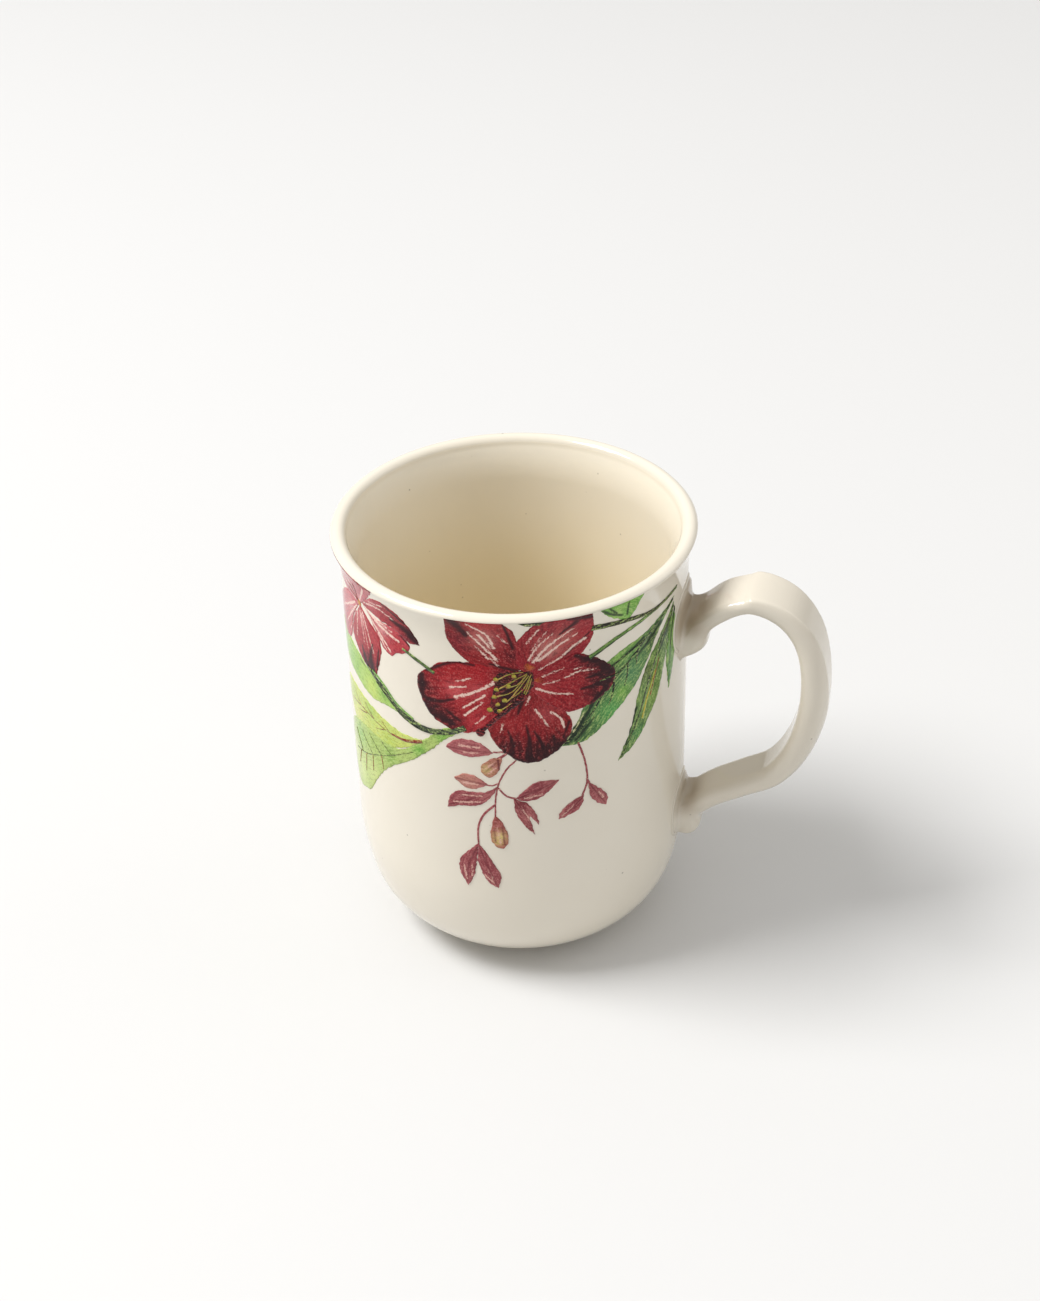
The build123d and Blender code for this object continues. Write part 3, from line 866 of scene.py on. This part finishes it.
def paint_side_flower(side, material):
    film = Print(side)
    heart = [(-41.2, 96.8)]
    film.shape([(-41, 96.8, 1), (-37.6, 99.6), (-33, 104.6, 1), (-62, 104.6, 1), (-57, 99.6),
        (-50, 97.4), (-44, 96)], (206, 124, 132),
        spots=[(-38, 103.6, 2.6, (188, 52, 62)), (-47, 104.4, 3, (184, 60, 70)),
           (-56, 103.6, 4, (170, 60, 72)), (-42, 98, 2, BLUSH)],
        light=[(0.3, 0.4, (-41, 97.6), (-37.4, 102.6)), (0.3, 0.5, (-42, 97.6), (-46, 102.6)),
           (0.3, 0.4, (-43, 97.2), (-52, 101.6))],
        dark=[(0.5, 0.6, (-33.8, 104.4), (-38, 104.2)), (0.3, 0.3, (-44, 104.4), (-56, 104.4))],
        flow=heart)
    film.shape([(-41.4, 96.6, 1), (-45.4, 91), (-47.4, 85.2), (-49.6, 83.2), (-53.4, 83.6),
        (-57.6, 87.6), (-55, 92), (-48.4, 96.4)], (204, 108, 116),
        spots=[(-52, 85.6, 3, (176, 60, 70)), (-46, 93, 2.4, BLUSH)],
        light=[(0.4, 0.2, (-42.8, 95.4), (-50.4, 87)), (0.4, 0.2, (-43.6, 95.8), (-54, 89)),
           (0.3, 0.2, (-42.6, 94), (-47.6, 86.6))],
        flow=heart)
    film.shape([(-39.6, 97.8, 1), (-35, 96.2), (-28.6, 96), (-24.6, 93.4), (-26, 91), (-28.4, 90),
        (-30.2, 88.6), (-32.4, 89.4), (-34, 91.4), (-36.4, 94.6)], (192, 74, 84),
        spots=[(-33, 94.6, 2.4, (220, 150, 150)), (-28, 92.4, 2.6, (180, 50, 60))],
        light=[(0.6, 0.4, (-38.4, 97.2), (-32, 94.6), (-27.6, 93.4)),
           (0.45, 0.3, (-38.4, 96.6), (-33.2, 92.6), (-30.2, 89.6)),
           (0.35, 0.25, (-34, 92.6), (-31.6, 89.6)), (0.3, 0.2, (-36, 96.6), (-29.6, 95))],
        dark=[(0.2, 0.4, (-27, 95.2), (-24.6, 93.4))], flow=heart)
    film.shape([(-39.8, 97.6, 1), (-35.4, 101.2), (-31.4, 102.2), (-27.4, 101), (-24.4, 98.2),
        (-21.8, 94.6, 1), (-24.8, 94.2), (-28.4, 96), (-33.4, 96.6)], (168, 50, 60),
        spots=[(-24.4, 96.4, 2.6, (84, 24, 36)), (-36, 99.4, 2.6, (200, 104, 110)),
           (-29, 99, 2.4, (150, 48, 56))],
        light=[(0.3, 0.2, (-38.6, 98.4), (-33, 99.6), (-28.6, 98.6)),
           (0.2, 0.2, (-36.4, 99.8), (-31.4, 101))],
        dark=[(0.6, 1.4, (-29.4, 98.4), (-25.4, 97.2), (-22.6, 95.2)),
           (0.3, 0.5, (-31, 102), (-25.6, 99))],
        flow=heart)
    film.shape([(-41, 96.4, 1), (-37.8, 94.4), (-34.2, 91.6), (-33.6, 88), (-34.8, 83.8),
        (-36.6, 79.4, 1), (-40, 81), (-43.6, 83.4), (-46.2, 86.6), (-44.8, 91.4)], (172, 50, 60),
        spots=[(-41, 93, 2.6, (206, 110, 116)), (-38.4, 82.6, 3.2, (88, 26, 40)),
           (-36, 90, 2, (180, 60, 68))],
        light=[(0.3, 0.15, (-41.2, 95), (-40, 87)), (0.3, 0.15, (-40, 95.2), (-36.4, 86)),
           (0.25, 0.15, (-42.4, 94.8), (-43.6, 87.2)), (0.2, 0.12, (-40.6, 94.6), (-38.4, 86.4))],
        dark=[(1.8, 0.3, (-37.2, 80.4), (-37.8, 84.4), (-36.6, 88.4)),
           (1.2, 0.3, (-40, 82), (-41.4, 85.6)), (0.6, 0.3, (-35.4, 83), (-34.4, 88))],
        flow=heart)
    film.dot(-41.2, 97, 0.8, (214, 150, 70))
    brim = PRINT_TOP - 0.35
    film.line(((-61.4, brim), (-54, brim), (-44, brim), (-34, brim)), 0.3, 0.7, (150, 30, 36))
    for tip in ((-44.6, 100.4), (-46.2, 98.4), (-42.4, 101.4)):
        film.line(((-41.4, 97.2), tip), 0.2, 0.3, (130, 60, 56))
    film.finish(side + "_side_flower", side + "_side_flower_print", material)


def vein(film, places, width, colour, branches=()):
    """Midrib with its side veins."""
    film.line(places, width, width * 0.5, colour)
    for branch in branches:
        film.line(branch, width * 0.8, width * 0.35, colour)


def paint_left_leaves(side, material):
    film = Print(side)
    rib_a = [(-54.0, 83.0), (-45.0, 80.0), (-36.0, 77.2), (-29.0, 74.0)]
    film.shape([(-57.6, 84, 1), (-51, 83.6), (-43.8, 82.2), (-38.4, 80.2), (-34.4, 79), (-30, 75.8),
        (-28.6, 73.8, 1), (-32.6, 74), (-38.6, 73.2), (-45.2, 74.6), (-52, 75.8), (-57, 79)],
        (168, 204, 100),
        spots=[(-48, 78.6, 4, (142, 192, 84)), (-38, 75.6, 3.4, (200, 220, 112)),
           (-33.6, 77, 2.4, (136, 182, 84)), (-55, 81, 3, (140, 190, 84))],
        dark=[(0.2, 0.12, (-43, 81), (-40.6, 80.4))], flow=rib_a)
    film.shape([(-53.4, 70.6, 1), (-46, 71.2), (-40.6, 70.6), (-33.8, 69.4), (-28.4, 68.6),
        (-22.2, 69, 1), (-26.6, 65.6), (-35.2, 61.6), (-42.8, 60.6), (-49.6, 60.8), (-53.4, 64.2),
        (-56.4, 68)], (206, 216, 112),
        spots=[(-48, 63.8, 3, (228, 226, 130)), (-40, 69, 2.6, (176, 204, 96)),
           (-33, 64, 3, (190, 208, 96)), (-50, 68, 3, (188, 208, 90))],
        flow=[(-52, 66), (-40, 66.6), (-23, 68.6)])
    film.shape([(-55, 57, 1), (-50, 60.6), (-44, 62.6), (-38, 63), (-30.4, 63.4), (-25.4, 66.4),
        (-20.8, 70.8), (-17.2, 74), (-13.6, 75, 1), (-12.8, 74, 1), (-16.2, 71.8), (-20.8, 67),
        (-26.6, 61.8), (-33.8, 56.2), (-39, 50), (-43, 44.4), (-46.8, 42.4), (-51, 41.4),
        (-54.4, 45.2), (-56.4, 51)], (178, 198, 112),
        spots=[(-48, 47, 4.4, (212, 226, 142)), (-40, 60, 3.4, (164, 190, 96)),
           (-24, 66.2, 2.4, (120, 176, 70)), (-53.6, 50, 3.6, (222, 230, 164)),
           (-33, 59.8, 2.6, (140, 176, 80)), (-41, 51, 3.6, (206, 218, 136)),
           (-17.6, 72.2, 2.4, (120, 176, 70)), (-47, 58, 3, (150, 196, 92))],
        dark=[(0.2, 0.35, (-26, 61.8), (-20, 67.4), (-13.6, 73.2))],
        flow=[(-52, 51.6), (-40, 56.4), (-25.6, 64.6), (-14, 74.4)])
    vein(film, ((-51.6, 65.4), (-45, 67), (-40.6, 67.2), (-32.4, 66.6), (-25.4, 67.6)), 0.28,
        (132, 44, 36), (((-45, 67), (-48.4, 69)), ((-38, 66.8), (-42.4, 69.4)),
        ((-32.6, 66.6), (-35.4, 68.4)), ((-34.6, 66.4), (-38, 65)), ((-42, 66.8), (-46.4, 65.2))))
    film.line(((-32, 66.6), (-27.4, 67), (-22.8, 68.6)), 0.5, 0.9, RUST)
    vein(film, ((-51, 51.4), (-44, 54.2), (-38.6, 57), (-32.2, 60.6), (-25.6, 64.6)), 0.26,
        (92, 96, 50), (((-40.6, 56.2), (-45.4, 59.8)), ((-36.6, 58.2), (-41.4, 61.6)),
        ((-32.6, 60.4), (-36, 62.4)), ((-46, 53.4), (-50, 57.6))))
    for places in (((-44, 54), (-44.8, 48.6)), ((-40.4, 56), (-40.6, 51.4)),
                   ((-36.4, 58), (-36, 54.6)), ((-47.6, 52.6), (-49.4, 48))):
        film.line(places, 0.26, 0.14, (168, 112, 70))
    film.line(((-39.6, 81.4), (-35.6, 79.2), (-31.8, 76.8), (-27.4, 73.9), (-21.6, 72.4),
        (-15.4, 73.6), (-12, 75.4)), 0.6, 1.4, (58, 66, 54))
    film.line(((-35, 79.4), (-31.4, 77.2), (-27.2, 74.5), (-21.4, 73), (-16, 73.9)), 0.2, 0.25,
        (24, 26, 22))
    film.line(((-36.2, 78.8), (-32, 76.3), (-27.6, 73.3), (-21.7, 71.8), (-15.6, 73)), 0.2, 0.3,
        (24, 26, 22))
    film.line(((-37.4, 81.2), (-33.6, 79.4), (-29.6, 76.2), (-24.8, 74)), 0.5, 0.3, (110, 160, 74))
    film.line(((-26.6, 92), (-22.6, 90.4), (-18.6, 88.4)), 0.55, 0.75, (84, 108, 60),
        dark=[(0.24, 0.3, (-26.4, 91.6), (-22.6, 90), (-18.6, 88))])
    film.finish(side + "_left_leaves", side + "_left_leaves_print", material)


def paint_right_leaves(side, material):
    film = Print(side)
    film.shape([(17.2, 104.6, 1), (28.4, 104.6, 1), (27.2, 100.6), (25.4, 98.6), (22.4, 99.8),
        (19.4, 101.8)], (128, 186, 84),
        spots=[(22, 101.6, 1.6, (168, 208, 110)), (26, 101, 1.6, (112, 170, 74))],
        dark=[(0.5, 0.35, (18, 103.8), (20.6, 101.8), (23.4, 100.4)),
           (0.3, 0.35, (19.6, 104), (21.8, 101.6)), (0.3, 0.4, (24.4, 103.8), (24.8, 100))],
        flow=[(18, 104), (25, 99)])
    rib = [(41.6, 95.4), (34.6, 92.8), (29, 89.6), (25.4, 87.1), (22.2, 85), (19, 81.6),
           (16, 77.2), (13, 73.2), (9.6, 70.6)]
    film.shape([(42.2, 95.8, 1), (37, 94.4), (30.6, 92.4), (24.6, 91.2), (20, 89.4), (17, 86),
        (14.6, 81), (12.8, 76.4), (9, 70.4, 1), (11.2, 70.1), (14.4, 70.4), (19, 73.2), (24.4, 77.4),
        (28.4, 81.2), (31.6, 85.4), (36, 91.4)], (94, 140, 80),
        spots=[(17, 82.6, 3.6, (60, 76, 56)), (12.6, 74.4, 3.4, (44, 58, 44)),
           (26, 83.6, 3, (92, 146, 96)), (20.6, 86.6, 3, (64, 84, 58)), (21, 76.4, 3.4, (96, 170, 92)),
           (28, 91.4, 2.6, (126, 176, 80)), (33, 90, 3.4, (56, 84, 56)), (24, 80, 2, (128, 182, 84)),
           (22.6, 89.6, 2, (132, 180, 86))],
        light=[(0.14, 0.2, (9.6, 70.9), (12.6, 75), (14.2, 78.2))],
        dark=[(1.1, 0.5, (10.4, 71.2), (14.4, 76.8), (17.6, 81.8)), (0.3, 0.6, (20, 87.6), (30, 91.4)),
           (0.4, 0.6, (27.6, 87.4), (36, 92.4)), (0.5, 0.2, (12.2, 71.2), (16.6, 76))],
        flow=rib)
    vein(film, rib, 0.7, BOTTLE, (((25.4, 87.2), (25.2, 84), (24.4, 81.4)),
        ((21.8, 84.4), (21.2, 80.6), (20.2, 78)), ((28.2, 89), (27.8, 85.4)),
        ((31, 90.8), (24.8, 89.4), (20.6, 87.6)), ((23, 85.4), (18, 85.2))))
    narrow = [(41.8, 93.6), (36.2, 87.2), (32.0, 79.6), (28.8, 71.6), (23.4, 62.2)]
    film.shape([(42, 94.4, 1), (36.4, 89.2), (31.4, 83.8), (28.8, 78), (26.4, 69.2), (22.8, 61.8, 1),
        (27.4, 64.2), (31.8, 69), (35.6, 74.4), (38, 82)], (106, 140, 74),
        spots=[(26.4, 67.4, 3, (66, 100, 62)), (32.4, 74, 2.4, (128, 160, 84)),
           (31, 81.8, 2.4, (96, 112, 62)), (37.6, 88, 2.4, (66, 96, 62)),
           (28.6, 66.6, 2.2, (84, 146, 78))],
        light=[], dark=[(0.7, 0.3, (27.8, 73.6), (24.6, 65.4)), (0.3, 0.5, (35.4, 84.6), (41.4, 93.2))],
        flow=narrow)
    vein(film, narrow, 0.62, (38, 40, 30))
    film.line(((34.2, 80.8), (31.6, 75.4), (29.8, 70)), 0.3, 0.6, (214, 190, 60))
    film.line(((35.6, 83.4), (33.6, 78.2), (32.4, 74.8)), 0.2, 0.4, (164, 70, 40))
    film.shape([(42.4, 93, 1), (40, 87.6), (38.8, 81.6), (40, 72.6, 1), (42.4, 79.6), (43, 87)],
        (116, 166, 84),
        spots=[(40, 76, 2.4, (84, 140, 76))], dark=[(0.5, 0.2, (42.4, 92.6), (40.6, 86.4), (40.2, 79))],
        flow=[(42.4, 93), (40.2, 73)])
    film.line(((43.2, 97.4), (36, 96.9), (29, 96.1), (22, 94.6), (15.6, 92)), 0.3, 1.1, (104, 142, 72),
        dark=[(0.3, 0.4, (43, 96.9), (36, 96.4), (29, 95.6), (22, 94.1), (15.6, 91.6))])
    film.line(((43.2, 97.8), (37.2, 97.2), (32.4, 97), (27.2, 97.9), (22.4, 98.7), (16, 99.6)), 0.35,
        1.4, (44, 36, 28))
    film.shape([(-0.2, 104.6, 1), (1.8, 103.4), (4.4, 103.6), (5.4, 104.6, 1)], (44, 50, 36),
        rough=0.2, light=[(0.1, 0.12, (1.6, 103.9), (3.4, 103.7))])
    film.finish(side + "_right_leaves", side + "_right_leaves_print", material)


def paint_sprig(side, material):
    film = Print(side)

    def twig(start, end, *places):
        film.line(places, start, end, (150, 74, 78), light=[(0.1, 0.1, places[0], places[-1])])

    def leaf(outline, rib, tint=MAUVE, pale=(), deep=()):
        film.shape(outline, tint,
            light=pale, dark=[(0.14, 0.1, *rib), *deep], flow=list(rib),
            spots=[(*outline[len(outline) // 2][:2], 2.2, (176, 104, 104))], fine=0.34)

    twig(0.35, 0.4, (-1, 67.6), (-3.1, 65.2), (-4.9, 61.4), (-5.8, 57.3), (-6, 54.2), (-6.1, 51.2))
    twig(0.45, 0.35, (-2.6, 69.8), (-6, 69.6))
    twig(0.5, 0.7, (-3, 69.4), (-5.2, 67.6))
    twig(0.3, 0.3, (-5, 61.2), (-6.4, 60.4), (-8, 60.5))
    twig(0.4, 0.4, (-5.2, 59.8), (-3.4, 57.6), (-1.2, 56.9))
    twig(0.55, 0.4, (-6, 55), (-8.5, 52.3), (-10, 48.6), (-10.2, 43.4))
    twig(0.45, 0.45, (12.8, 70.4), (14.4, 64.5), (14.8, 59), (13.6, 55.4))
    twig(0.4, 0.6, (14.7, 60), (15.6, 57.8))
    leaf([(-16.8, 69.3, 1), (-14.8, 71.6), (-11.6, 72.4), (-8.6, 71.6), (-5.9, 69.5, 1), (-7.8, 68.5),
        (-10.6, 67.8), (-14, 68)], ((-16.4, 69.4), (-6.4, 69.6)), (168, 92, 96),
        pale=[(0.4, 0.3, (-13.8, 70.4), (-9, 70.6)), (0.3, 0.2, (-12.6, 68.8), (-9.4, 69))])
    film.shape([(-4.4, 68), (-6.6, 67.6), (-8.9, 65.6), (-8.7, 63.9), (-7.1, 62.7), (-5.4, 63.8),
        (-4.4, 66)], (176, 118, 96),
        spots=[(-7.6, 64.8, 1.2, STRAW)],
        light=[(0.25, 0.2, (-8.2, 64.8), (-6, 66.6)), (0.2, 0.2, (-7.2, 63.6), (-5.6, 65.4))],
        dark=[(0.12, 0.1, (-7.8, 64.2), (-5.6, 66.6)), (0.3, 0.3, (-5, 67.6), (-4.8, 64.8))], fine=0.34)
    leaf([(-15.2, 61.3, 1), (-13.2, 62.6), (-10.6, 62.7), (-7.6, 60.6, 1), (-9.6, 59.3), (-11.6, 58.9),
        (-13.6, 59.8)], ((-14.8, 61.3), (-8, 60.6)), (190, 132, 116),
        pale=[(0.5, 0.3, (-13, 60.4), (-9.8, 60.4))])
    leaf([(-17.2, 52.4, 1), (-16.4, 55.6), (-14.6, 57.6), (-11, 58), (-8, 58.4), (-5.2, 60.2, 1),
        (-7.4, 56.4), (-10.4, 54.3), (-14.2, 53.6)], ((-16.8, 53.2), (-11, 56.2), (-5.6, 59.8)),
        pale=[(0.3, 0.25, (-15.6, 54.4), (-9.4, 55.6)), (0.25, 0.2, (-13.6, 56.8), (-9, 57.2))])
    leaf([(-1.3, 57, 1), (0.8, 59.4), (3.4, 61.3), (8.3, 61.2, 1), (5.6, 58.2), (3, 56.6),
        (0.4, 56.3)], ((-1, 57), (3, 58.8), (8, 61.1)),
        pale=[(0.25, 0.2, (0.6, 57), (4.4, 57.8))])
    leaf([(-1.9, 56.8, 1), (1.2, 55.4), (3.1, 52.2), (3.5, 49.4, 1), (1.6, 51.8), (2.6, 46.6, 1),
        (0.4, 49.4), (-1.4, 53)], ((-1.6, 56.6), (0.6, 52.6), (1.8, 50.4)), (130, 58, 62),
        pale=[(0.12, 0.3, (-0.2, 54.4), (1.7, 50.8))])
    film.shape([(-6.2, 51.6), (-4.7, 50.2), (-3.6, 47.2), (-3.3, 44.6), (-4.6, 42.7), (-6.3, 43.3),
        (-7.3, 45.6), (-7, 48.6)], (158, 84, 76),
        spots=[(-5.3, 46, 1.6, (232, 214, 140)), (-5.6, 44.4, 1, (220, 196, 120))],
        light=[(0.2, 0.25, (-5.8, 48.6), (-5, 44))],
        dark=[(0.14, 0.2, (-4.6, 49), (-4.2, 44)), (0.1, 0.16, (-6.4, 48), (-6.2, 44.6))], fine=0.34)
    leaf([(-10.1, 43.6, 1), (-12.6, 41), (-14.6, 38.4), (-14.8, 34.4), (-13.1, 30.7, 1), (-11.8, 33),
        (-10.9, 37.2), (-10.6, 40, 1)], ((-10.6, 42.4), (-12.8, 36.6), (-13.1, 31.6)),
        pale=[(0.3, 0.25, (-13.8, 36.6), (-13.2, 32.6)), (0.2, 0.2, (-11.8, 37), (-12, 33.8))])
    leaf([(-10.1, 43.6, 1), (-8.2, 40.4), (-6.2, 36.8), (-5.3, 34), (-5.9, 31, 1), (-8, 32.3),
        (-9.7, 35.4), (-10.5, 39.2)], ((-10, 42.4), (-8, 36.4), (-6.2, 31.8)),
        pale=[(0.12, 0.12, (-8.4, 36), (-6.8, 33)), (0.25, 0.2, (-9, 34.6), (-7, 32.4))])
    leaf([(14, 55.6, 1), (11.4, 54.6), (8.8, 52.4), (7.9, 50.2, 1), (10.4, 50.9), (12.6, 52),
        (13.7, 53.6)], ((13.8, 55.2), (10.8, 52.6), (8.4, 50.8)),
        pale=[(0.14, 0.25, (11.4, 53.4), (8.8, 51))])
    leaf([(15.1, 58.6, 1), (18, 56), (19.9, 53), (19.4, 51, 1), (17.2, 52.4), (15.6, 55)], ((15.4, 58),
        (17.6, 54.4), (19.2, 51.6)), (158, 84, 88),
        pale=[(0.25, 0.2, (17.6, 55.2), (18.8, 53.2))])
    film.finish(side + "_sprig", side + "_sprig_print", material)


def print_colours(name, pale, deep, mottle, shade):
    """Fired print under the glaze: dry pale strokes and dark strokes broken up over a mottled wash."""
    material, make, shader = new_material(name)
    pale, deep, mottle = (tuple(linear(colour)) for colour in (pale, deep, mottle))
    flow = make.add("UVMap", {}, uv_map="flow").outputs["UV"]

    def grain(source, scale, stretch, detail):
        """Noise from 0 to 1, stretched along the first axis of its source."""
        warp = make.add("Mapping", {"Vector": source})
        warp.inputs["Scale"].default_value = (1 / stretch, 1, 1)
        return make.noise(warp.outputs["Vector"], scale, detail)

    def ragged(mask, cloud, low, high, swing):
        """Mask sharpened at an edge that the noise makes uneven."""
        shake = make.math("MULTIPLY", make.math("SUBTRACT", cloud, 0.5), swing)
        return make.ramp(make.math("ADD", mask, shake), low, high)

    def lay(colour, amount, over, strength=1.0):
        return make.mix(make.math("MULTIPLY", amount, strength), colour, over)

    brush = grain(flow, 2.2, 5.0, 3.0)
    dots = grain(make.place(), 2600.0, 1.0, 2.0)
    flecks = make.math("ADD", make.math("MULTIPLY", grain(flow, 3.4, 3.5, 3.0), 0.6),
                       make.math("MULTIPLY", dots, 0.4))
    colour = lay(make.attribute("wash", "Color"), ragged(brush, dots, 0.44, 0.80, 0.55), mottle)
    colour = lay(colour, ragged(brush, dots, 0.56, 0.28, 0.4), deep, shade)
    colour = lay(colour, ragged(dots, brush, 0.52, 0.70, 0.2), pale, 0.07)
    colour = lay(colour, ragged(dots, brush, 0.50, 0.34, 0.2), deep, 0.22)
    colour = lay(colour, ragged(make.attribute("dark"), flecks, 0.05, 0.95, 1.2), deep, 0.9)
    colour = lay(colour, ragged(make.attribute("light"), flecks, 0.34, 0.86, 2.6), pale, 0.88)
    make.put(shader.inputs["Base Color"], colour)
    glossy(shader, 1.25)
    return material


def make_decor():
    red = print_colours("red_enamel", (238, 212, 198), (44, 16, 22), (168, 54, 56), 0.40)
    green = print_colours("green_enamel", (228, 226, 172), BOTTLE, (172, 196, 116), 0.30)
    mauve = print_colours("mauve_enamel", (222, 178, 164), (96, 36, 44), (186, 118, 116), 0.35)
    for side in SIDES:
        paint_left_leaves(side, green)
        paint_right_leaves(side, green)
        paint_sprig(side, mauve)
        paint_side_flower(side, red)
        paint_flower(side, red)


make_camera()
make_lights()
make_floor()
cream = glaze("cream_glaze", (0.795, 0.745, 0.645), (0.77, 0.71, 0.595))
# inside of the cup: the cream glaze painted lighter near the rim as painted light, and warmer and darker
# deep down as painted shade
inner = glaze("inner_glaze_painted_light_and_shade", (0.87, 0.815, 0.70), (0.84, 0.775, 0.64), deep=(0.83, 0.73, 0.52))
make_cup(cream, inner, biscuit())
# handle: the cream glaze painted darker and greyer, as painted shade
make_handle(glaze("handle_glaze_painted_shade", (0.725, 0.675, 0.58), (0.70, 0.64, 0.535)))
make_decor()
